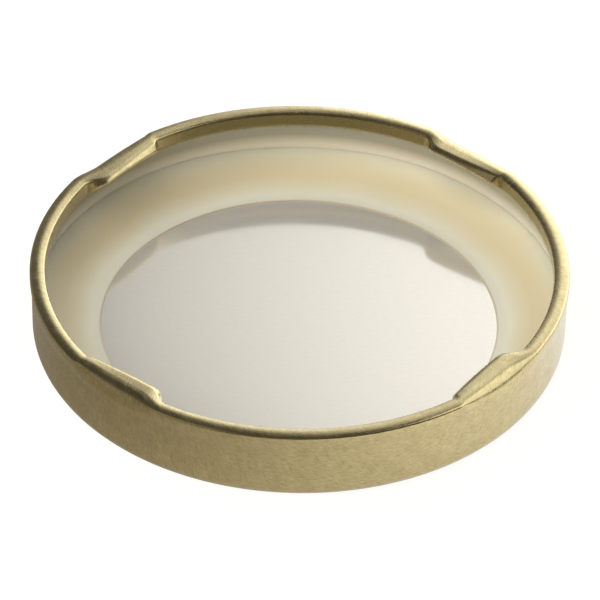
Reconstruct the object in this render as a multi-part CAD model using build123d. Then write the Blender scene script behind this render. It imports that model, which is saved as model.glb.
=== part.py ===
from build123d import *
import os
from math import cos, radians, sin, tan

# A twist-off lug cap for a glass jar, lying on its panel with its mouth up.
# The origin is the centre of the ring that it lies on, and +Z points out of the mouth.
# Lengths are in millimetres and angles in degrees.
# A section is drawn as radius and height, along the sheet's outside face.

# Shell: one drawn blank of tinplate.
SHEET = 0.2
SKIRT_DIAMETER = 71.6
HEIGHT = 10.5
CORNER_RADIUS = 1.8

# The middle of the panel is set in from the ring that the cap lies on.
CHANNEL_WIDTH = 7.2
PANEL_RECESS = 0.35
PANEL_STEP_SLOPE = 30.0
PANEL_STEP_RADIUS = 0.6

# Curl: the mouth's edge, rolled over inwards, with the raw edge tucked up behind.
CURL_PROUD = 0.2
CURL_WIDTH = 2.1
CURL_DEPTH = 2.55
CURL_FLARE_START = 2.5
CURL_FLARE_END = 1.25
CURL_FLARE_RADIUS = 2.0
CURL_OUTER_RADIUS = 0.5
CURL_INNER_RADIUS = 0.6
CURL_TUCK = 0.9
CURL_TUCK_GAP = 0.1

# Lugs: stretches of the curl, pressed inwards and flattened.
LUG_COUNT = 4
LUG_ANGLE = 24.6
FIRST_LUG_START = 33.2
LUG_FLARE = 0.03
LUG_FLARE_DROP = 1.6
LUG_FLARE_RADIUS = 2.0
LUG_SHOULDER_REACH = 0.8
LUG_SHOULDER_RADIUS = 0.9
LUG_TOP_DROP = 0.2
LUG_NOSE_REACH = 3.6
LUG_NOSE_RADIUS = 0.5
LUG_HEEL_REACH = 4.5
LUG_HEEL_DROP = 0.75
LUG_HEEL_RADIUS = 0.3
LUG_UNDERSIDE = 2.3
LUG_UNDERSIDE_SLOPE = 15.0
LUG_TUCK = 0.6

# A lug starts in a step, deepens over most of its length and fades out at its end.
# Each share is how much of the full press its part has where the step ends.
LUG_STEP_ANGLE = 2.0
LUG_DEEPENING_ANGLE = 16.0
LUG_SHOULDER_SHARE = 0.05
LUG_SHOULDER_FADE_ANGLE = 8.4
LUG_NOSE_SHARE = 0.1
LUG_NOSE_FADE_ANGLE = 6.7
LUG_HEEL_SHARE = 0.45
LUG_HEEL_FADE_ANGLE = 4.6
LUG_STEP_SECTIONS = 3
LUG_SECTIONS = 8
LUG_FADE_SECTIONS = 4

# The foot of each lug follows the round edge of the bowl to within this distance.
SEAM_TOLERANCE = 0.001

# Gasket: a ring of plastisol, flowed into the channel and up the wall.
GASKET_LAP = 1.35
GASKET_EDGE_THICKNESS = 0.12
GASKET_WALL_HEIGHT = 3.4
GASKET_HOLLOW = 0.55

SKIRT_RADIUS = SKIRT_DIAMETER / 2
CURL_RADIUS = SKIRT_RADIUS + CURL_PROUD
CHANNEL_RADIUS = SKIRT_RADIUS - CHANNEL_WIDTH
PANEL_RADIUS = CHANNEL_RADIUS - PANEL_RECESS / tan(radians(PANEL_STEP_SLOPE))
RIM_BASE = HEIGHT - CURL_DEPTH - CURL_FLARE_RADIUS / 2
BOWL_RADII = [PANEL_STEP_RADIUS, PANEL_STEP_RADIUS, CORNER_RADIUS]
CURL_RADII = [
    CURL_FLARE_RADIUS,
    CURL_FLARE_RADIUS,
    CURL_OUTER_RADIUS,
    CURL_INNER_RADIUS,
    CURL_INNER_RADIUS,
    CURL_INNER_RADIUS,
]
LUG_RADII = [
    LUG_FLARE_RADIUS,
    LUG_FLARE_RADIUS,
    LUG_SHOULDER_RADIUS,
    LUG_NOSE_RADIUS,
    LUG_HEEL_RADIUS,
    LUG_HEEL_RADIUS,
]

os.makedirs("parts", exist_ok=True)


def moved_in(corners, distance):
    """The corners of the same line, moved to its left by a distance."""
    runs = [(end - start).normalized() for start, end in zip(corners, corners[1:])]
    lefts = [Vector(-run.Y, run.X) for run in runs]
    moved = [corners[0] + lefts[0] * distance]
    for corner, before, after in zip(corners[1:], lefts, lefts[1:]):
        moved.append(corner + (before + after) * (distance / (1 + before.dot(after))))
    moved.append(corners[-1] + lefts[-1] * distance)
    return moved


def turns_left(before, corner, after):
    """Whether the line bends to its left at a corner."""
    return (corner - before).cross(after - corner).Z > 0


def sheet_faces(corners, radii):
    """The sheet's outside face, rounded at the corners, and its inside face."""
    inner_radii = [
        radius - SHEET if turns_left(*bend) else radius + SHEET
        for radius, bend in zip(radii, zip(corners, corners[1:], corners[2:]))
    ]
    outside = FilletPolyline(*corners, radius=radii)
    inside = FilletPolyline(*moved_in(corners, SHEET), radius=inner_radii)
    return outside, inside


def sheet_section(corners, radii):
    """The sheet's thickness, between its two faces and its two cut ends."""
    outside, inside = sheet_faces(corners, radii)
    ends = [Line(outside @ 0, inside @ 0), Line(outside @ 1, inside @ 1)]
    return make_face(outside.edges() + inside.edges() + ends)


def upright(section, angle):
    """A section stood up in the half plane at an angle about the cap's axis."""
    return section.rotate(Axis.X, 90).rotate(Axis.Z, angle)


def curl_corners():
    """The corners of the plain curl's outside face, from the skirt to the raw edge."""
    inner = CURL_RADIUS - CURL_WIDTH
    tuck = SKIRT_RADIUS - SHEET - CURL_TUCK_GAP
    foot = HEIGHT - CURL_DEPTH
    return [
        Vector(SKIRT_RADIUS, RIM_BASE),
        Vector(SKIRT_RADIUS, HEIGHT - CURL_FLARE_START),
        Vector(CURL_RADIUS, HEIGHT - CURL_FLARE_END),
        Vector(CURL_RADIUS, HEIGHT),
        Vector(inner, HEIGHT),
        Vector(inner, foot),
        Vector(tuck, foot),
        Vector(tuck, foot + CURL_TUCK),
    ]


def lug_corners():
    """The same corners where a lug is pressed in as far as it goes."""
    top = HEIGHT - LUG_TOP_DROP
    slope = radians(LUG_UNDERSIDE_SLOPE)
    heel = Vector(SKIRT_RADIUS - LUG_HEEL_REACH, HEIGHT - LUG_HEEL_DROP)
    fold = heel + Vector(cos(slope), -sin(slope)) * LUG_UNDERSIDE
    return [
        Vector(SKIRT_RADIUS, RIM_BASE),
        Vector(SKIRT_RADIUS, HEIGHT - CURL_FLARE_START),
        Vector(SKIRT_RADIUS + LUG_FLARE, HEIGHT - LUG_FLARE_DROP),
        Vector(SKIRT_RADIUS - LUG_SHOULDER_REACH, top),
        Vector(SKIRT_RADIUS - LUG_NOSE_REACH, top),
        heel,
        fold,
        fold + Vector(sin(slope), cos(slope)) * LUG_TUCK,
    ]


def smooth_step(share):
    """0 up to a share of 0, 1 from a share of 1, and a smooth curve between."""
    held = min(max(share, 0), 1)
    return held * held * (3 - 2 * held)


def press_at(angle, first_share, fade_angle):
    """How far a part of the lug is pressed in, at an angle from the lug's start."""
    left = max(0, 1 - angle / LUG_DEEPENING_ANGLE)
    deepening = 1 - (1 - first_share) * left**2
    step = smooth_step(angle / LUG_STEP_ANGLE)
    fade = smooth_step((LUG_ANGLE - angle) / fade_angle)
    return deepening * step * fade


def rim_section(angle):
    """The rim's section at an angle from a lug's start: plain curl at both ends of the lug."""
    shoulder = press_at(angle, LUG_SHOULDER_SHARE, LUG_SHOULDER_FADE_ANGLE)
    nose = press_at(angle, LUG_NOSE_SHARE, LUG_NOSE_FADE_ANGLE)
    heel = press_at(angle, LUG_HEEL_SHARE, LUG_HEEL_FADE_ANGLE)
    presses = [shoulder, shoulder, shoulder, shoulder, nose, heel, heel, heel]
    corners = [
        plain + (pressed - plain) * press
        for plain, pressed, press in zip(curl_corners(), lug_corners(), presses)
    ]
    radii = [
        plain + (pressed - plain) * press
        for plain, pressed, press in zip(CURL_RADII, LUG_RADII, presses[1:])
    ]
    return upright(sheet_section(corners, radii), angle)


def rim_stretch(start, end, count, ruled):
    """The rim between two angles from a lug's start, through a number of sections."""
    pitch = (end - start) / (count - 1)
    sections = [rim_section(start + pitch * index) for index in range(count)]
    return loft(sections, ruled=ruled)


def lug():
    """One lug: the step at its start, its length, and the end where it fades into the curl."""
    fade_start = LUG_ANGLE - LUG_HEEL_FADE_ANGLE
    step = rim_stretch(0, LUG_STEP_ANGLE, LUG_STEP_SECTIONS, ruled=True)
    length = rim_stretch(LUG_STEP_ANGLE, fade_start, LUG_SECTIONS, ruled=False)
    end = rim_stretch(fade_start, LUG_ANGLE, LUG_FADE_SECTIONS, ruled=True)
    return length + step + end


def plain_rim():
    """The stretch of plain curl from the end of one lug to the start of the next."""
    stretch = 360 / LUG_COUNT - LUG_ANGLE
    return revolve(rim_section(LUG_ANGLE), axis=Axis.Z, revolution_arc=stretch)


def bowl_corners():
    """The corners of the bowl's outside face, from the panel's middle to the rim."""
    return [
        Vector(0, PANEL_RECESS),
        Vector(PANEL_RADIUS, PANEL_RECESS),
        Vector(CHANNEL_RADIUS, 0),
        Vector(SKIRT_RADIUS, 0),
        Vector(SKIRT_RADIUS, RIM_BASE),
    ]


def bowl():
    """The panel, the channel's floor, the corner and the plain skirt."""
    section = sheet_section(bowl_corners(), BOWL_RADII)
    return revolve(upright(section, 0), axis=Axis.Z)


def cap_shell():
    """The whole pressing."""
    pitch = 360 / LUG_COUNT
    quarter = lug() + plain_rim()
    starts = [FIRST_LUG_START + pitch * index for index in range(LUG_COUNT)]
    rim = [quarter.rotate(Axis.Z, start) for start in starts]
    return bowl().fuse(*rim, tol=SEAM_TOLERANCE)


def sealing_gasket():
    """The plastisol between the bowl's inside face and its own hollow surface."""
    outside, inside = sheet_faces(bowl_corners(), BOWL_RADII)
    mouth = Vector(0, RIM_BASE)
    across = Line(inside @ 1, mouth)
    axis = Line(mouth, inside @ 0)
    hollow = make_face(inside.edges() + [across, axis])

    bore = PANEL_RADIUS - GASKET_LAP
    wall = SKIRT_RADIUS - SHEET
    lip = Vector(bore, PANEL_RECESS + SHEET + GASKET_EDGE_THICKNESS)
    crest = Vector(wall, GASKET_WALL_HEIGHT)
    surface = SagittaArc(crest, lip, GASKET_HOLLOW)
    rest = Polyline(lip, Vector(bore, 0), Vector(wall, 0), crest)
    poured = make_face([surface] + rest.edges())
    return revolve(upright(hollow & poured, 0), axis=Axis.Z)


export_step(cap_shell(), "parts/cap_shell.step")
export_step(sealing_gasket(), "parts/sealing_gasket.step")
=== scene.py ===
import bmesh
import bpy
import numpy as np
from mathutils import Matrix, Vector


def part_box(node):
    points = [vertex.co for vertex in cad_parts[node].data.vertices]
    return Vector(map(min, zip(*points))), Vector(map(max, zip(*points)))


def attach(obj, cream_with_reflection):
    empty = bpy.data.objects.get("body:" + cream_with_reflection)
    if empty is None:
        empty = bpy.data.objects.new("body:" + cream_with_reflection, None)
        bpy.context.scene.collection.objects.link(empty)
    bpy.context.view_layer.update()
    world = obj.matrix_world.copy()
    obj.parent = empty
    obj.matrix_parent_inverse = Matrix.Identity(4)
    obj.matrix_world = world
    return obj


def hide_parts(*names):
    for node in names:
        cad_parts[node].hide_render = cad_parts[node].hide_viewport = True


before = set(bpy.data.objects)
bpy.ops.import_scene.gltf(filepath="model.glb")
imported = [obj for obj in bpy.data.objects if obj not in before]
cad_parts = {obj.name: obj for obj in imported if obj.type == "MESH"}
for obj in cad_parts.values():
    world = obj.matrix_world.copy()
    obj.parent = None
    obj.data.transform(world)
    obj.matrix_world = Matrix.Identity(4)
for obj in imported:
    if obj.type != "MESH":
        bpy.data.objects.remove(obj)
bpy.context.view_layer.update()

# The shell is one drawn blank of tinplate: panel, channel, corner, skirt, rolled curl and lugs.
# It is drawn and trimmed in one press and curled on a spindle, and the lugs are pressed out of
# the curl. Its sizes are in millimetres, and its section is given as radius and height.
MM = 0.001
SHELL_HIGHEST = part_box("cap_shell")[1]
HEIGHT = SHELL_HIGHEST.z / MM
CURL_RADIUS = SHELL_HIGHEST.x / MM
CURL_PROUD = 0.2
SKIRT_RADIUS = CURL_RADIUS - CURL_PROUD
SHEET = 0.2
CORNER_RADIUS = 1.8
CHANNEL_WIDTH = 7.2
CHANNEL_RADIUS = SKIRT_RADIUS - CHANNEL_WIDTH
PANEL_RECESS = 0.35
PANEL_STEP_SLOPE = np.radians(30)
PANEL_STEP_ROUNDING = 0.6
PANEL_RADIUS = CHANNEL_RADIUS - PANEL_RECESS / np.tan(PANEL_STEP_SLOPE)

# Curl: the mouth's edge, rolled over inwards, with the raw edge tucked up behind.
CURL_FLARE_START = 2.5
CURL_FLARE_END = 1.25
CURL_FLARE_ROUNDING = 2.0
CURL_WIDTH = 2.1
CURL_DEPTH = 2.55
CURL_OUTER_ROUNDING = 0.45
CURL_CROWN_RISE = 0.05
CURL_CROWN_DOME = 0.25
CURL_CROWN_ROUNDING = 2.4
CURL_INNER_ROUNDING = 0.4
CURL_FOLD_ROUNDING = 0.6
CURL_TUCK = 0.9
CURL_TUCK_GAP = 0.1

# Lugs: stretches of the curl, pressed inwards and flattened.
LUG_COUNT = 4
LUG_PITCH = 360 / LUG_COUNT
LUG_ANGLE = 24.6
FIRST_LUG_START = 33.2
LUG_FLARE = 0.03
LUG_FLARE_DROP = 1.6
LUG_SHOULDER_REACH = 0.7
LUG_SHOULDER_ROUNDING = 1.7
LUG_TOP_DROP = 0.1
LUG_TOP_DOME = 0.05
LUG_NOSE_REACH = 3.6
LUG_NOSE_ROUNDING = 1.4
LUG_HEEL_REACH = 4.5
LUG_HEEL_DROP = 0.75
LUG_HEEL_ROUNDING = 0.3
LUG_UNDERSIDE = 2.3
LUG_UNDERSIDE_SLOPE = np.radians(15)
LUG_TUCK = 0.6

# A lug starts in a step, deepens over most of its length and fades out at its end.
# Each share is how much of the full press its part has where the step ends.
LUG_STEP_ANGLE = 2.0
LUG_DEEPENING_ANGLE = 16.0
LUG_SHOULDER_SHARE = 0.05
LUG_SHOULDER_FADE_ANGLE = 8.4
LUG_NOSE_SHARE = 0.1
LUG_NOSE_FADE_ANGLE = 6.7
LUG_HEEL_SHARE = 0.45
LUG_HEEL_FADE_ANGLE = 4.6

# Sections are closest where a lug starts, and furthest apart in the plain curl.
CLOSE_ANGLE = 4.0
CLOSE_SECTIONS = 27
DEEPENING_SECTIONS = 21
FADE_SECTIONS = 29
PLAIN_SECTIONS = 44

# Rows of the mesh: the strips in the arc at each corner, and the cuts in each straight run.
ARC_STRIPS = (2, 2, 8, 3, 4, 8, 6, 8, 7, 6)
PANEL_CUTS = (0.002, 0.2, 0.4, 0.6, 0.8, 0.98)
CHANNEL_CUTS = (0.03, 0.5, 0.97)
SKIRT_CUTS = (0.05, 0.35, 0.65, 0.95)
FLARE_CUTS = (0.3, 0.7)
ROLL_CUTS = (0.15, 0.5, 0.85)
SHORT_CUTS = (0.5,)
RUN_CUTS = (
    PANEL_CUTS,
    SHORT_CUTS,
    CHANNEL_CUTS,
    SKIRT_CUTS,
    FLARE_CUTS,
    SHORT_CUTS,
    SHORT_CUTS,
    SHORT_CUTS,
    ROLL_CUTS,
    SHORT_CUTS,
    SHORT_CUTS,
)

# Points nearer than this, in metres, are one: those of a pole, and those of a section's seam.
MERGE_WITHIN = 1e-7


def smooth_step(share):
    """0 below a share of 0, 1 above a share of 1, and 3t^2 - 2t^3 between them."""
    held = np.clip(share, 0, 1)
    return held * held * (3 - 2 * held)


def press_at(angle, first_share, fade_angle):
    """How far a corner of the curl is pressed, 0 to 1, at an angle in degrees from a lug's start.

    It is 1 - (1 - f)(1 - a / d)^2, with f the first share and d the angle at which the lug is
    deep, times a smooth step up at the lug's start and one down over the fade at its end.
    """
    left = np.clip(1 - angle / LUG_DEEPENING_ANGLE, 0, 1)
    deepening = 1 - (1 - first_share) * left**2
    step = smooth_step(angle / LUG_STEP_ANGLE)
    fade = smooth_step((LUG_ANGLE - angle) / fade_angle)
    return deepening * step * fade


def turned(vectors):
    """Each vector turned a quarter to its left: (x, y) becomes (-y, x)."""
    return np.stack([-vectors[..., 1], vectors[..., 0]], -1)


def runs_of(corners):
    """The unit vector of each run between two corners."""
    runs = np.diff(corners, axis=-2)
    return runs / np.linalg.norm(runs, axis=-1, keepdims=True)


def moved_in(corners, distance):
    """The corners of the same line, moved to its left by a distance.

    With a and b the lefts of the runs before and after it, a corner moves by (a + b) times the
    distance over 1 + a.b.
    """
    lefts = turned(runs_of(corners))
    before = np.concatenate([lefts[..., :1, :], lefts], -2)
    after = np.concatenate([lefts, lefts[..., -1:, :]], -2)
    cosine = (before * after).sum(-1, keepdims=True)
    return corners + (before + after) * distance / (1 + cosine)


def rounded_line(corners, radii, arc_strips, run_cuts):
    """Points along a line of runs, with an arc of the given radius at each inner corner.

    An arc of radius r that turns by t starts r tan(t / 2) before its corner. Its points are its
    centre plus r times the unit vector from the centre to its start, turned by 0 to t. Each run
    is cut at its shares of the way from the end of one arc to the start of the next.
    """
    runs = runs_of(corners)
    points = [corners[..., :1, :]]
    last = corners[..., 0, :]
    for index in range(corners.shape[-2] - 2):
        come, go = runs[..., index, :], runs[..., index + 1, :]
        turn = np.arctan2((turned(come) * go).sum(-1), (come * go).sum(-1))
        radius = radii[..., index]
        corner = corners[..., index + 1, :]
        start = corner - come * (radius * np.tan(np.abs(turn) / 2))[..., None]
        side = np.sign(turn)[..., None] * turned(come)
        centre = start + side * radius[..., None]
        arm = -side * radius[..., None]
        angles = turn[..., None] * np.linspace(0, 1, arc_strips[index] + 1)
        arc = (
            centre[..., None, :]
            + np.cos(angles)[..., None] * arm[..., None, :]
            + np.sin(angles)[..., None] * turned(arm)[..., None, :]
        )
        cuts = np.array(run_cuts[index])[:, None]
        points.append(last[..., None, :] * (1 - cuts) + start[..., None, :] * cuts)
        points.append(arc)
        last = arc[..., -1, :]
    cuts = np.array(run_cuts[-1] + (1.0,))[:, None]
    points.append(last[..., None, :] * (1 - cuts) + corners[..., -1:, :] * cuts)
    return np.concatenate(points, -2)


def ring_piece(name, sections, angles, slots, flat_radius, marks):
    """A piece from sections that stand round the axis, with its poles and its seam closed.

    sections holds one section for each angle, as radius and height in millimetres, and a point is
    (r cos a, r sin a, z). slots gives each strip's material slot. flat_radius is each point's
    radius on the flat sheet, whose map is (f cos a, f sin a). marks holds each point's values of
    an attribute, by its name.
    """
    columns, rows = sections.shape[:2]
    turn = np.radians(angles)[:, None]
    radius, height = sections[..., 0], sections[..., 1]
    points = np.stack([radius * np.cos(turn), radius * np.sin(turn), height], -1) * MM
    flat = np.stack([flat_radius * np.cos(turn), flat_radius * np.sin(turn)], -1)
    column = np.arange(columns)[:, None] * rows
    beside = np.roll(column, -1, 0)
    row = np.arange(rows - 1)[None, :]
    quads = np.stack([column + row, beside + row, beside + row + 1, column + row + 1], -1)
    quads = quads.reshape(-1, 4)
    mesh = bpy.data.meshes.new(name)
    mesh.from_pydata(points.reshape(-1, 3), [], quads)
    strip_slots = np.broadcast_to(slots, (columns, rows - 1))
    mesh.polygons.foreach_set("material_index", strip_slots.ravel().astype(np.int32))
    mesh.polygons.foreach_set("use_smooth", np.ones(len(quads), bool))
    layer = mesh.uv_layers.new(name="flat_sheet")
    corner_places = flat.reshape(-1, 2)[quads.ravel()]
    layer.data.foreach_set("uv", corner_places.astype(np.float32).ravel())
    for mark, values in marks.items():
        attribute = mesh.attributes.new(mark, "FLOAT", "POINT")
        attribute.data.foreach_set("value", values.ravel().astype(np.float32))
    merged = bmesh.new()
    merged.from_mesh(mesh)
    bmesh.ops.remove_doubles(merged, verts=merged.verts, dist=MERGE_WITHIN)
    merged.to_mesh(mesh)
    merged.free()
    piece = bpy.data.objects.new(name, mesh)
    bpy.context.scene.collection.objects.link(piece)
    return piece


def quarter_angles():
    """The angles of the sections from one lug's start to just before the next lug's."""
    close = np.linspace(0, CLOSE_ANGLE, CLOSE_SECTIONS, endpoint=False)
    deepening = np.linspace(CLOSE_ANGLE, LUG_DEEPENING_ANGLE, DEEPENING_SECTIONS, endpoint=False)
    fade = np.linspace(LUG_DEEPENING_ANGLE, LUG_ANGLE, FADE_SECTIONS, endpoint=False)
    plain = np.linspace(LUG_ANGLE, LUG_PITCH, PLAIN_SECTIONS, endpoint=False)
    return np.concatenate([close, deepening, fade, plain])


def shell_line(shoulder, nose, heel):
    """The corners of the sheet's outside face, from the panel's middle to the raw edge.

    Each is a radius, a height and a rounding. It is its place in the plain curl, plus a press
    times its way to its place in the lug. The corners up to the shoulder share its press, as
    those from the heel on share the heel's. The nose has its own, and the middle of the lug's
    top has the mean of the shoulder's and the nose's.
    """
    bowl = [
        (0, PANEL_RECESS, 0),
        (PANEL_RADIUS, PANEL_RECESS, PANEL_STEP_ROUNDING),
        (CHANNEL_RADIUS, 0, PANEL_STEP_ROUNDING),
        (SKIRT_RADIUS, 0, CORNER_RADIUS),
    ]
    inner = CURL_RADIUS - CURL_WIDTH
    crown = CURL_RADIUS - CURL_WIDTH / 2
    crown_height = HEIGHT + CURL_CROWN_RISE
    edge_height = crown_height - CURL_CROWN_DOME
    tuck = SKIRT_RADIUS - SHEET - CURL_TUCK_GAP
    foot = HEIGHT - CURL_DEPTH
    curl = [
        (SKIRT_RADIUS, HEIGHT - CURL_FLARE_START, CURL_FLARE_ROUNDING),
        (CURL_RADIUS, HEIGHT - CURL_FLARE_END, CURL_FLARE_ROUNDING),
        (CURL_RADIUS, edge_height, CURL_OUTER_ROUNDING),
        (crown, crown_height, CURL_CROWN_ROUNDING),
        (inner, edge_height, CURL_INNER_ROUNDING),
        (inner, foot, CURL_FOLD_ROUNDING),
        (tuck, foot, CURL_FOLD_ROUNDING),
        (tuck, foot + CURL_TUCK, 0),
    ]
    top = HEIGHT - LUG_TOP_DROP
    middle_reach = (LUG_SHOULDER_REACH + LUG_NOSE_REACH) / 2
    along = np.cos(LUG_UNDERSIDE_SLOPE)
    down = np.sin(LUG_UNDERSIDE_SLOPE)
    heel_radius = SKIRT_RADIUS - LUG_HEEL_REACH
    heel_height = HEIGHT - LUG_HEEL_DROP
    fold = heel_radius + LUG_UNDERSIDE * along
    fold_height = heel_height - LUG_UNDERSIDE * down
    lug = [
        (SKIRT_RADIUS, HEIGHT - CURL_FLARE_START, CURL_FLARE_ROUNDING),
        (SKIRT_RADIUS + LUG_FLARE, HEIGHT - LUG_FLARE_DROP, CURL_FLARE_ROUNDING),
        (SKIRT_RADIUS - LUG_SHOULDER_REACH, top, LUG_SHOULDER_ROUNDING),
        (SKIRT_RADIUS - middle_reach, top + LUG_TOP_DOME, CURL_CROWN_ROUNDING),
        (SKIRT_RADIUS - LUG_NOSE_REACH, top, LUG_NOSE_ROUNDING),
        (heel_radius, heel_height, LUG_HEEL_ROUNDING),
        (fold, fold_height, LUG_HEEL_ROUNDING),
        (fold + LUG_TUCK * down, fold_height + LUG_TUCK * along, 0),
    ]
    plain = np.array(bowl + curl, float)
    pressed = np.array(bowl + lug, float)
    middle = (shoulder + nose) / 2
    press = np.stack([shoulder] * 7 + [middle, nose] + [heel] * 3, -1)
    return plain + (pressed - plain) * press[..., None]


lug_angle = np.tile(quarter_angles(), LUG_COUNT)
lug_number = np.repeat(np.arange(LUG_COUNT), len(quarter_angles()))
angles = FIRST_LUG_START + LUG_PITCH * lug_number + lug_angle
shoulder = press_at(lug_angle, LUG_SHOULDER_SHARE, LUG_SHOULDER_FADE_ANGLE)
nose = press_at(lug_angle, LUG_NOSE_SHARE, LUG_NOSE_FADE_ANGLE)
heel = press_at(lug_angle, LUG_HEEL_SHARE, LUG_HEEL_FADE_ANGLE)
line = shell_line(shoulder, nose, heel)
corners = line[..., :2]
roundings = line[:, 1:-1, 2]
outside = rounded_line(corners, roundings, ARC_STRIPS, RUN_CUTS)
runs = runs_of(corners)
bends_left = (turned(runs)[:, :-1] * runs[:, 1:]).sum(-1) > 0
inner_roundings = np.where(bends_left, roundings - SHEET, roundings + SHEET)
inside = rounded_line(moved_in(corners, SHEET), inner_roundings, ARC_STRIPS, RUN_CUTS)
outside[:, 0, 0] = 0
inside[:, 0, 0] = 0

steps = np.linalg.norm(np.diff(outside, axis=1), axis=-1)
run_out = np.concatenate([np.zeros((len(angles), 1)), np.cumsum(steps, 1)], 1)
rows = outside.shape[1]
strip = np.arange(2 * rows - 1)
GOLD_SIDE, RAW_EDGE, PALE_SIDE = 0, 1, 2
sides = np.where(strip < rows - 1, GOLD_SIDE, np.where(strip == rows - 1, RAW_EDGE, PALE_SIDE))

# The roll's inner face and the lug's underside are marked for painted shade: the gold is darkened
# there to stand in for the shade under the curl. The marks start a few rows from where the nose's
# arc ends, and a lug's own inner face loses its mark as its nose is pressed.
NOSE_CORNER = 8
ROLL_STARTS_BEFORE = 6
HEEL_STARTS_AFTER = 8
MARK_FADE_ROWS = 4
NOSE_PRESS_CLEARED = 0.25
nose_arc_end = sum(ARC_STRIPS[:NOSE_CORNER]) + NOSE_CORNER + sum(map(len, RUN_CUTS[:NOSE_CORNER]))
past_nose = np.arange(rows) - nose_arc_end
past_crown = smooth_step((past_nose + ROLL_STARTS_BEFORE) / MARK_FADE_ROWS)
past_heel = smooth_step((past_nose - HEEL_STARTS_AFTER) / MARK_FADE_ROWS)
inner_face = past_crown * (1 - smooth_step(nose / NOSE_PRESS_CLEARED)[:, None])
rolled = np.maximum(inner_face, past_heel[None, :])
shell = ring_piece(
    "tinplate_shell",
    np.concatenate([outside, inside[:, ::-1]], 1),
    angles,
    sides,
    np.concatenate([run_out, run_out[:, ::-1]], 1),
    {"painted_shade_in_roll": np.concatenate([rolled, np.zeros_like(rolled)], 1)},
)


def new_material(name):
    """A new material, its node tree and its shader."""
    material = bpy.data.materials.new(name)
    material.use_nodes = True
    tree = material.node_tree
    return material, tree, tree.nodes["Principled BSDF"]


def noise(tree, point, scale, detail):
    """Noise of 0 to 1 about 0.5 at a point, of a scale in cycles a unit and a count of octaves."""
    texture = tree.nodes.new("ShaderNodeTexNoise")
    texture.inputs["Scale"].default_value = scale
    texture.inputs["Detail"].default_value = detail
    tree.links.new(point, texture.inputs["Vector"])
    return texture.outputs["Fac"]


GRAIN_ANGLE = np.radians(8)


def streaks(tree, across, along, detail, slant=0.0):
    """Noise drawn out along the sheet's rolling direction, or at a slant to it.

    The point of the flat sheet is turned back by the grain's angle and the slant, and scaled by
    along and across, in cycles per millimetre.
    """
    sheet = tree.nodes.new("ShaderNodeUVMap")
    sheet.uv_map = "flat_sheet"
    turn = tree.nodes.new("ShaderNodeVectorRotate")
    turn.rotation_type = "Z_AXIS"
    turn.inputs["Angle"].default_value = -GRAIN_ANGLE - slant
    tree.links.new(sheet.outputs["UV"], turn.inputs["Vector"])
    stretch = tree.nodes.new("ShaderNodeVectorMath")
    stretch.operation = "MULTIPLY"
    stretch.inputs[1].default_value = (along, across, 0)
    tree.links.new(turn.outputs["Vector"], stretch.inputs[0])
    return noise(tree, stretch.outputs["Vector"], 1.0, detail)


NOISE_RANGE = (0.3, 0.7)


def ranged(tree, value, low, high, span=NOISE_RANGE, interpolation="LINEAR"):
    """A value spread from low to high while it runs through its span, and held beyond it."""
    spread = tree.nodes.new("ShaderNodeMapRange")
    spread.interpolation_type = interpolation
    spread.inputs["From Min"].default_value = span[0]
    spread.inputs["From Max"].default_value = span[1]
    spread.inputs["To Min"].default_value = low
    spread.inputs["To Max"].default_value = high
    tree.links.new(value, spread.inputs["Value"])
    return spread.outputs["Result"]


def mixed(tree, value, low, high):
    """A colour between two, each a colour or a node's output, by a value of 0 to 1."""
    mix = tree.nodes.new("ShaderNodeMix")
    mix.data_type = "RGBA"
    for end, colour in (("A", low), ("B", high)):
        if isinstance(colour, tuple):
            mix.inputs[end].default_value = colour
        else:
            tree.links.new(colour, mix.inputs[end])
    tree.links.new(value, mix.inputs["Factor"])
    return mix.outputs["Result"]


def bumped(tree, shader, value, height, before=None):
    """The shader's normal, bumped by a value times a height in metres, over a bump before it."""
    bump = tree.nodes.new("ShaderNodeBump")
    bump.inputs["Strength"].default_value = 1.0
    bump.inputs["Distance"].default_value = height
    tree.links.new(value, bump.inputs["Height"])
    if before is not None:
        tree.links.new(before, bump.inputs["Normal"])
    tree.links.new(bump.outputs["Normal"], shader.inputs["Normal"])
    return bump.outputs["Normal"]


def coordinates(tree):
    """The X, Y and Z of a point on the piece, in metres."""
    split = tree.nodes.new("ShaderNodeSeparateXYZ")
    tree.links.new(tree.nodes.new("ShaderNodeTexCoord").outputs["Object"], split.inputs[0])
    return split.outputs


# Gold side: clear gold lacquer baked on bright tin. The tin's rolling grain was drawn with the
# blank, and the lacquer has fine slanting scratches and a faint mottle.
GOLD_FINE = {"across": 4.5, "along": 1.0, "detail": 3.0}
GOLD_BROAD = {"across": 0.8, "along": 0.3, "detail": 2.0}
SCRATCH_SLANT = np.radians(55)
GOLD_SCRATCHES = {"across": 5.0, "along": 0.45, "detail": 1.0, "slant": SCRATCH_SLANT}
GOLD_MOTTLE = {"across": 0.5, "along": 0.35, "detail": 3.0, "slant": SCRATCH_SLANT}
GOLD_DARK = (0.56, 0.46, 0.22, 1)
GOLD_BRIGHT = (0.78, 0.66, 0.36, 1)
GOLD_SCRATCHED = (0.36, 0.29, 0.13, 1)
GOLD_MOTTLED = (0.42, 0.34, 0.15, 1)
# Painted shade: the dark gold put on the roll's inner face and the lug's underside.
GOLD_PAINTED_SHADE = (0.31, 0.245, 0.095, 1)
SCRATCH_SHARE = 0.6
SCRATCH_RANGE = (0.6, 0.75)
MOTTLE_SHARE = 0.35
GOLD_SMOOTHEST = 0.22
GOLD_ROUGHEST = 0.34
GOLD_GRAIN_HEIGHT = 8e-6
gold, tree, shader = new_material("gold_lacquered_tin")
fine = streaks(tree, **GOLD_FINE)
tint = mixed(tree, ranged(tree, fine, 0, 1), GOLD_DARK, GOLD_BRIGHT)
scratches = ranged(tree, streaks(tree, **GOLD_SCRATCHES), 0, SCRATCH_SHARE, SCRATCH_RANGE)
scratched = mixed(tree, scratches, tint, GOLD_SCRATCHED)
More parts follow.
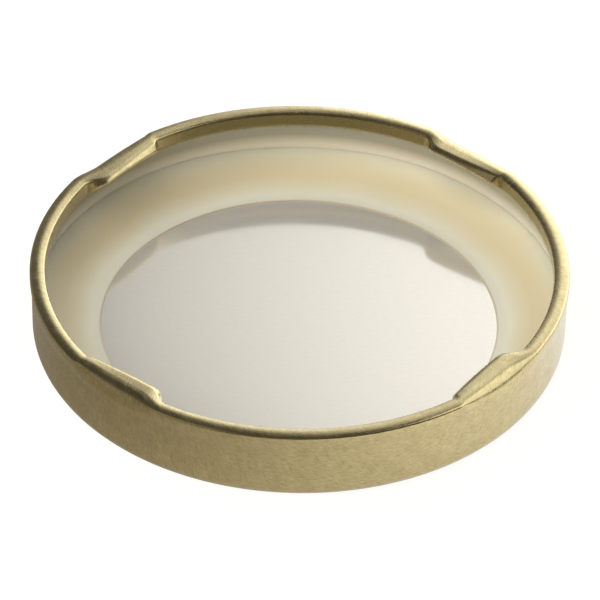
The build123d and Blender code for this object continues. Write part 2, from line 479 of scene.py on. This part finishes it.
mottle = ranged(tree, streaks(tree, **GOLD_MOTTLE), 0, MOTTLE_SHARE)
mottled = mixed(tree, mottle, scratched, GOLD_MOTTLED)
# Painted shade: the marked roll and lug undersides take the dark gold.
painted_shade_in_roll = tree.nodes.new("ShaderNodeAttribute")
painted_shade_in_roll.attribute_name = "painted_shade_in_roll"
shaded_gold = mixed(tree, painted_shade_in_roll.outputs["Fac"], mottled, GOLD_PAINTED_SHADE)
tree.links.new(shaded_gold, shader.inputs["Base Color"])
roughness = ranged(tree, streaks(tree, **GOLD_BROAD), GOLD_SMOOTHEST, GOLD_ROUGHEST)
tree.links.new(roughness, shader.inputs["Roughness"])
bumped(tree, shader, fine, GOLD_GRAIN_HEIGHT)
shader.inputs["Metallic"].default_value = 1.0
shader.inputs["Coat Weight"].default_value = 0.6
shader.inputs["Coat Roughness"].default_value = 0.12

# Raw edge: the sheet's cut end, bare steel between its two coats of tin.
STEEL_DARK = (0.36, 0.35, 0.33, 1)
STEEL_BRIGHT = (0.54, 0.53, 0.51, 1)
steel, tree, shader = new_material("cut_steel_edge")
cut_marks = ranged(tree, streaks(tree, **GOLD_FINE), 0, 1)
tree.links.new(mixed(tree, cut_marks, STEEL_DARK, STEEL_BRIGHT), shader.inputs["Base Color"])
shader.inputs["Metallic"].default_value = 1.0
shader.inputs["Roughness"].default_value = 0.4

# Pale side: the food-side lacquer, nearly clear, over the same tin. Up the wall, above the
# gasket, it is painted greyer, as painted shadow of the overhanging curl.
PALE_FINE = {"across": 3.0, "along": 0.9, "detail": 3.0}
PALE_BROAD = {"across": 0.35, "along": 0.12, "detail": 2.0}
PALE_DARK = (0.86, 0.82, 0.72, 1)
PALE_BRIGHT = (0.90, 0.86, 0.76, 1)
PALE_IN_CURL_SHADOW = (0.45, 0.43, 0.355, 1)
CURL_SHADOW_HEIGHTS = (0.0040, 0.0056)
PALE_SMOOTHEST = 0.09
PALE_ROUGHEST = 0.13
PALE_BUMP_HEIGHT = 4e-6
pale, tree, shader = new_material("pale_lacquered_tin")
fine = ranged(tree, streaks(tree, **PALE_FINE), 0, 1)
broad = streaks(tree, **PALE_BROAD)
# Painted shadow: the wall darkens between these heights, standing in for the curl's shadow.
curl_shadow = ranged(tree, coordinates(tree)["Z"], 0, 1, CURL_SHADOW_HEIGHTS)
tint = mixed(tree, curl_shadow, mixed(tree, fine, PALE_DARK, PALE_BRIGHT), PALE_IN_CURL_SHADOW)
tree.links.new(tint, shader.inputs["Base Color"])
tree.links.new(ranged(tree, broad, PALE_SMOOTHEST, PALE_ROUGHEST), shader.inputs["Roughness"])
bumped(tree, shader, broad, PALE_BUMP_HEIGHT)
shader.inputs["Metallic"].default_value = 0.43
shader.inputs["Coat Weight"].default_value = 0.5
shader.inputs["Coat Roughness"].default_value = 0.05

for material in (gold, steel, pale):
    shell.data.materials.append(material)
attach(shell, "root")
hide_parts("cap_shell")

# The gasket is a ring of plastisol, flowed wet into the channel of the spinning cap and baked.
# It feathers out over the panel's edge and climbs the wall in a hollow curve, to a crest that
# rises and falls a little round the wall. It bonds to the sheet as it bakes.
GASKET_LAP = 1.35
GASKET_BORE = PANEL_RADIUS - GASKET_LAP
GASKET_WALL = SKIRT_RADIUS - SHEET
GASKET_EDGE_THICKNESS = 0.12
GASKET_WALL_HEIGHT = 3.4
GASKET_HOLLOW = 0.55
GASKET_SECTIONS = 240
GASKET_SURFACE_ROWS = 40
UNDER_STEP_ROUNDING = 0.5
UNDER_ARC_STRIPS = (8, 2, 2)
LONG_WAVES = 3
LONG_WAVE_HEIGHT = 0.1
LONG_WAVE_START = 0.6
SHORT_WAVES = 7
SHORT_WAVE_HEIGHT = 0.06


def hollow_arc(start, end, hollow, rows):
    """Points on the arc from start to end that hangs a hollow's depth to the right of its chord.

    With c the chord and h the hollow, its radius is (c^2 / 4 + h^2) / 2h. The points crowd
    towards both ends, by the sine of even steps, so that the edges there are shaded sharp.
    """
    chord = (end - start)[..., None, :]
    length = np.linalg.norm(chord, axis=-1, keepdims=True)
    radius = (length**2 / 4 + hollow**2) / (2 * hollow)
    right = -turned(chord / length)
    centre = (start + end)[..., None, :] / 2 + right * (hollow - radius)
    half = np.arcsin(length / 2 / radius)
    angle = np.sin(np.linspace(-np.pi / 2, np.pi / 2, rows))[:, None] * half
    return centre + radius * (np.cos(angle) * right + np.sin(angle) * chord / length)


gasket_angles = np.arange(GASKET_SECTIONS) * 360 / GASKET_SECTIONS
turn = np.radians(gasket_angles)
long_wave = LONG_WAVE_HEIGHT * np.sin(LONG_WAVES * turn + LONG_WAVE_START)
short_wave = SHORT_WAVE_HEIGHT * np.sin(SHORT_WAVES * turn)
crest = np.stack([np.full_like(turn, GASKET_WALL), GASKET_WALL_HEIGHT + long_wave + short_wave], -1)
lip = np.array([GASKET_BORE, PANEL_RECESS + SHEET + GASKET_EDGE_THICKNESS])
surface = hollow_arc(lip, crest, GASKET_HOLLOW, GASKET_SURFACE_ROWS)
sheet_run = np.array(
    [
        (GASKET_WALL, SHEET),
        (CHANNEL_RADIUS, SHEET),
        (PANEL_RADIUS, PANEL_RECESS + SHEET),
        (GASKET_BORE, PANEL_RECESS + SHEET),
    ]
)
sheet_runs = np.broadcast_to(sheet_run, (GASKET_SECTIONS, *sheet_run.shape))
under_corners = np.concatenate([crest[:, None], sheet_runs], 1)
under_roundings = np.array([CORNER_RADIUS - SHEET, UNDER_STEP_ROUNDING, UNDER_STEP_ROUNDING])
under_cuts = (SHORT_CUTS,) * len(sheet_run)
under = rounded_line(under_corners, under_roundings, UNDER_ARC_STRIPS, under_cuts)
lips = np.broadcast_to(lip, (GASKET_SECTIONS, 1, 2))
gasket_sections = np.concatenate([surface, under[:, 1:], lips], 1)[:, ::-1]
gasket = ring_piece(
    "plastisol_ring",
    gasket_sections,
    gasket_angles,
    0,
    gasket_sections[..., 0],
    {},
)


def banded(tree, radius, bands):
    """A colour that runs through bands, each a radius in millimetres and the colour there."""
    inner, outer = bands[0][0], bands[-1][0]
    ramp = tree.nodes.new("ShaderNodeValToRGB")
    elements = ramp.color_ramp.elements
    while len(elements) < len(bands):
        elements.new(0.5)
    for element, (at, colour) in zip(elements, bands):
        element.position = (at - inner) / (outer - inner)
        element.color = colour
    tree.links.new(ranged(tree, radius, 0, 1, (inner, outer)), ramp.inputs["Fac"])
    return ramp.outputs["Color"]


def reckoned(tree, operation, *values):
    """A sum, a product or the like of values, each a number or a node's output."""
    reckoning = tree.nodes.new("ShaderNodeMath")
    reckoning.operation = operation
    for socket, value in zip(reckoning.inputs, values):
        if isinstance(value, float):
            socket.default_value = value
        else:
            tree.links.new(value, socket)
    return reckoning.outputs[0]


# Plastisol: cream, with a tan band across its middle that is painted reflection of the gold rim,
# and browned at its baked edges. Its surface is dull, with a fine grain and slow swells, and its
# bands wander a little.
# The cream is the compound's own colour; the tan from 29.8 to 33 mm is painted reflection of the gold
# rim.
CREAM_AND_REFLECTION_BANDS = (
    (26.6, (0.89, 0.84, 0.66, 1)),
    (28.2, (0.93, 0.87, 0.67, 1)),
    (29.8, (0.86, 0.77, 0.53, 1)),
    (31.4, (0.82, 0.705, 0.44, 1)),
    (33.0, (0.82, 0.71, 0.45, 1)),
    (34.6, (0.83, 0.76, 0.53, 1)),
    (35.6, (0.80, 0.75, 0.56, 1)),
)
BAKED_EDGE = (0.58, 0.38, 0.17, 1)
UNBAKED = (0, 0, 0, 1)
BAKED_AT_THE_BORE = (0.75, 0.75, 0.75, 1)
BAKED_AT_THE_WALL = (0.22, 0.22, 0.22, 1)
EDGE_BANDS = (
    (26.6, BAKED_AT_THE_BORE),
    (26.95, UNBAKED),
    (35.4, UNBAKED),
    (35.52, BAKED_AT_THE_WALL),
    (35.6, BAKED_AT_THE_WALL),
)
CLOUD_SCALE = 90
CLOUD_DETAIL = 4.0
CLOUD_DRIFT = 0.45
CLOUD_HEIGHT = 1.5e-4
GRAIN_SCALE = 1800
GRAIN_DETAIL = 3.0
GRAIN_HEIGHT = 1.2e-5
plastisol, tree, shader = new_material("cream_plastisol")
point = tree.nodes.new("ShaderNodeTexCoord").outputs["Object"]
flattened = tree.nodes.new("ShaderNodeVectorMath")
flattened.operation = "MULTIPLY"
flattened.inputs[1].default_value = (1 / MM, 1 / MM, 0)
tree.links.new(point, flattened.inputs[0])
from_axis = tree.nodes.new("ShaderNodeVectorMath")
from_axis.operation = "LENGTH"
tree.links.new(flattened.outputs["Vector"], from_axis.inputs[0])
radius = from_axis.outputs["Value"]
cloud = noise(tree, point, CLOUD_SCALE, CLOUD_DETAIL)
drifted = reckoned(tree, "ADD", radius, ranged(tree, cloud, -CLOUD_DRIFT, CLOUD_DRIFT))
cream_with_reflection = banded(tree, drifted, CREAM_AND_REFLECTION_BANDS)
tint = mixed(tree, banded(tree, radius, EDGE_BANDS), cream_with_reflection, BAKED_EDGE)
tree.links.new(tint, shader.inputs["Base Color"])
shader.inputs["Roughness"].default_value = 0.42
shader.inputs["Subsurface Weight"].default_value = 0.15
shader.inputs["Subsurface Radius"].default_value = (0.0012, 0.0009, 0.0006)
shader.inputs["Subsurface Scale"].default_value = 1.0
swells = bumped(tree, shader, cloud, CLOUD_HEIGHT)
bumped(tree, shader, noise(tree, point, GRAIN_SCALE, GRAIN_DETAIL), GRAIN_HEIGHT, swells)

gasket.data.materials.append(plastisol)
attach(gasket, "root")
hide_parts("sealing_gasket")

# The floor is a large plain sheet that the cap lies on. It shows as white and keeps the cap's
# soft shadow. The metal mirrors a glow on it that is painted light and shade, dark at the left and
# white at the right.
FLOOR_HALF = 3.0
FLOOR_COLOUR = (0.21, 0.18, 0.125, 1)
FLOOR_SHOWS_AS = 0.9
FLOOR_PAINTED_DARK = 0.06
FLOOR_PAINTED_BRIGHT = 1.0
FLOOR_PAINTED_BRIGHTENS = (-0.055, 0.07)


def sheet_mesh(name, corners):
    """A flat sheet through four corners, in metres."""
    mesh = bpy.data.meshes.new(name)
    mesh.from_pydata(corners, [], [(0, 1, 2, 3)])
    sheet = bpy.data.objects.new(name, mesh)
    bpy.context.scene.collection.objects.link(sheet)
    return sheet


def glowing(tree, strength):
    """A white glow of a strength, which is a node's output."""
    glow = tree.nodes.new("ShaderNodeEmission")
    tree.links.new(strength, glow.inputs["Strength"])
    return glow.outputs["Emission"]


floor = sheet_mesh(
    "floor",
    [
        (-FLOOR_HALF, -FLOOR_HALF, 0),
        (FLOOR_HALF, -FLOOR_HALF, 0),
        (FLOOR_HALF, FLOOR_HALF, 0),
        (-FLOOR_HALF, FLOOR_HALF, 0),
    ],
)
paper, tree, shader = new_material("white_floor")
shader.inputs["Base Color"].default_value = FLOOR_COLOUR
shader.inputs["Roughness"].default_value = 0.9
ray = tree.nodes.new("ShaderNodeLightPath").outputs
# Painted light: the glow that the metal mirrors runs from dark at the left to bright at the right.
painted_glow = ranged(tree, coordinates(tree)["X"], FLOOR_PAINTED_DARK, FLOOR_PAINTED_BRIGHT, FLOOR_PAINTED_BRIGHTENS, "SMOOTHSTEP")
mirrored = reckoned(tree, "MAXIMUM", ray["Is Glossy Ray"], ray["Is Transmission Ray"])
reflected = reckoned(tree, "MULTIPLY", mirrored, painted_glow)
seen = reckoned(tree, "MULTIPLY_ADD", ray["Is Camera Ray"], FLOOR_SHOWS_AS, reflected)
both = tree.nodes.new("ShaderNodeAddShader")
tree.links.new(shader.outputs["BSDF"], both.inputs[0])
tree.links.new(glowing(tree, seen), both.inputs[1])
tree.links.new(both.outputs[0], tree.nodes["Material Output"].inputs["Surface"])
floor.data.materials.append(paper)

# The backdrop is a sheet that stands behind the cap and glows, with no lamp on it. Its glow is
# painted light, brighter at the right and fading towards the top, and the panel mirrors it from
# dark at the left to bright at the right. The camera doesn't see it, so that it never stands
# between the cap and a camera behind it.
BACKDROP_AT = 0.45
BACKDROP_HALF = 1.0
BACKDROP_HEIGHT = 0.9
BACKDROP_PAINTED_DARK = 0.15
BACKDROP_PAINTED_BRIGHT = 1.85
BACKDROP_BRIGHTENS = (-0.08, 0.12)
BACKDROP_FOOT_SHARE = 1.3
BACKDROP_TOP_SHARE = 0.4
BACKDROP_FADES = (0.08, 0.65)
backdrop = sheet_mesh(
    "backdrop",
    [
        (-BACKDROP_HALF, BACKDROP_AT, 0),
        (BACKDROP_HALF, BACKDROP_AT, 0),
        (BACKDROP_HALF, BACKDROP_AT, BACKDROP_HEIGHT),
        (-BACKDROP_HALF, BACKDROP_AT, BACKDROP_HEIGHT),
    ],
)
card, tree, shader = new_material("painted_glow_backdrop")
place = coordinates(tree)
# Painted light: the glow is brighter at the right and fades towards the top.
painted_glow = ranged(tree, place["X"], BACKDROP_PAINTED_DARK, BACKDROP_PAINTED_BRIGHT, BACKDROP_BRIGHTENS, "SMOOTHSTEP")
fade = ranged(tree, place["Z"], BACKDROP_FOOT_SHARE, BACKDROP_TOP_SHARE, BACKDROP_FADES, "SMOOTHSTEP")
glow = glowing(tree, reckoned(tree, "MULTIPLY", painted_glow, fade))
tree.links.new(glow, tree.nodes["Material Output"].inputs["Surface"])
backdrop.data.materials.append(card)
backdrop.visible_camera = False

# Studio light: a large key box above the left front lights the cap, but the metal doesn't mirror
# it. A smaller box above the right is only mirrored. The room is dim, with a weak fill from the
# left, and darkest at the camera's side.
ROOM = 0.09
ROOM_COLOUR = (1, 0.94, 0.83, 1)
FILL_FACING = (-0.8, -0.4, 0.4)
FILL_HALF_ANGLE = 26
FILL_SOFTNESS = 12
FILL_BRIGHTNESS = 0.3
KEY_FACING = (-0.5, -0.42, 0.75)
KEY_DISTANCE = 0.5
KEY_SIZE = 0.75
KEY_BRIGHTNESS = 2.0
RIGHT_FACING = (0.8, 0.05, 0.6)
RIGHT_DISTANCE = 0.45
RIGHT_SIZE = 0.42
RIGHT_BRIGHTNESS = 1.3
world = bpy.data.worlds.new("studio")
bpy.context.scene.world = world
world.use_nodes = True
tree = world.node_tree
towards_fill = tree.nodes.new("ShaderNodeVectorMath")
towards_fill.operation = "DOT_PRODUCT"
towards_fill.inputs[1].default_value = Vector(FILL_FACING).normalized()
direction = tree.nodes.new("ShaderNodeTexCoord").outputs["Generated"]
tree.links.new(direction, towards_fill.inputs[0])
fill_edge = (
    np.cos(np.radians(FILL_HALF_ANGLE + FILL_SOFTNESS)),
    np.cos(np.radians(FILL_HALF_ANGLE - FILL_SOFTNESS)),
)
cosine = towards_fill.outputs["Value"]
brightness = ranged(tree, cosine, ROOM, FILL_BRIGHTNESS, fill_edge, "SMOOTHSTEP")
background = tree.nodes["Background"]
background.inputs["Color"].default_value = ROOM_COLOUR
tree.links.new(brightness, background.inputs["Strength"])


def soft_box(name, facing, distance, size, brightness):
    """A square area lamp in a direction from the cap, facing it, as bright as that much white."""
    lamp = bpy.data.lights.new(name, "AREA")
    lamp.size = size
    lamp.energy = brightness * np.pi * size * size
    holder = bpy.data.objects.new(name, lamp)
    holder.location = Vector(facing).normalized() * distance
    holder.rotation_euler = Vector(facing).to_track_quat("Z", "Y").to_euler()
    bpy.context.scene.collection.objects.link(holder)
    return holder


key_box = soft_box("key_box", KEY_FACING, KEY_DISTANCE, KEY_SIZE, KEY_BRIGHTNESS)
key_box.visible_glossy = False
right_box = soft_box("right_box", RIGHT_FACING, RIGHT_DISTANCE, RIGHT_SIZE, RIGHT_BRIGHTNESS)
right_box.visible_diffuse = False

# The camera looks down at the cap from the photograph's height and distance, a little from the
# left and rolled a little. The middle of the cap's base lies just off the picture's middle.
CAMERA_DISTANCE = 0.6
CAMERA_AZIMUTH = np.radians(-2.5)
CAMERA_ELEVATION = np.radians(38.82)
CAMERA_ROLL = np.radians(0.9)
CAMERA_NEAREST = 0.01
SENSOR = 36.0
PIXELS = 600
FOCAL_PIXELS = 4453.2
PIXEL_AT_CAP = CAMERA_DISTANCE / FOCAL_PIXELS
BASE_LEFT_OF_MIDDLE = 1.05
BASE_BELOW_MIDDLE = 24.2
back = Vector(
    (
        np.sin(CAMERA_AZIMUTH) * np.cos(CAMERA_ELEVATION),
        -np.cos(CAMERA_AZIMUTH) * np.cos(CAMERA_ELEVATION),
        np.sin(CAMERA_ELEVATION),
    )
)
level = Vector((np.cos(CAMERA_AZIMUTH), np.sin(CAMERA_AZIMUTH), 0))
upward = back.cross(level)
right = level * np.cos(CAMERA_ROLL) + upward * np.sin(CAMERA_ROLL)
up = upward * np.cos(CAMERA_ROLL) - level * np.sin(CAMERA_ROLL)
place = back * CAMERA_DISTANCE
aim = (up * BASE_BELOW_MIDDLE + right * BASE_LEFT_OF_MIDDLE) * PIXEL_AT_CAP
back = (place - aim).normalized()
right = up.cross(back).normalized()
up = back.cross(right)
lens = bpy.data.cameras.new("camera")
lens.sensor_width = SENSOR
lens.lens = FOCAL_PIXELS / PIXELS * SENSOR
lens.clip_start = CAMERA_NEAREST
camera = bpy.data.objects.new("camera", lens)
camera.matrix_world = Matrix.Translation(place) @ Matrix((right, up, back)).transposed().to_4x4()
bpy.context.scene.collection.objects.link(camera)
bpy.context.scene.camera = camera
bpy.context.scene.view_settings.view_transform = "Standard"
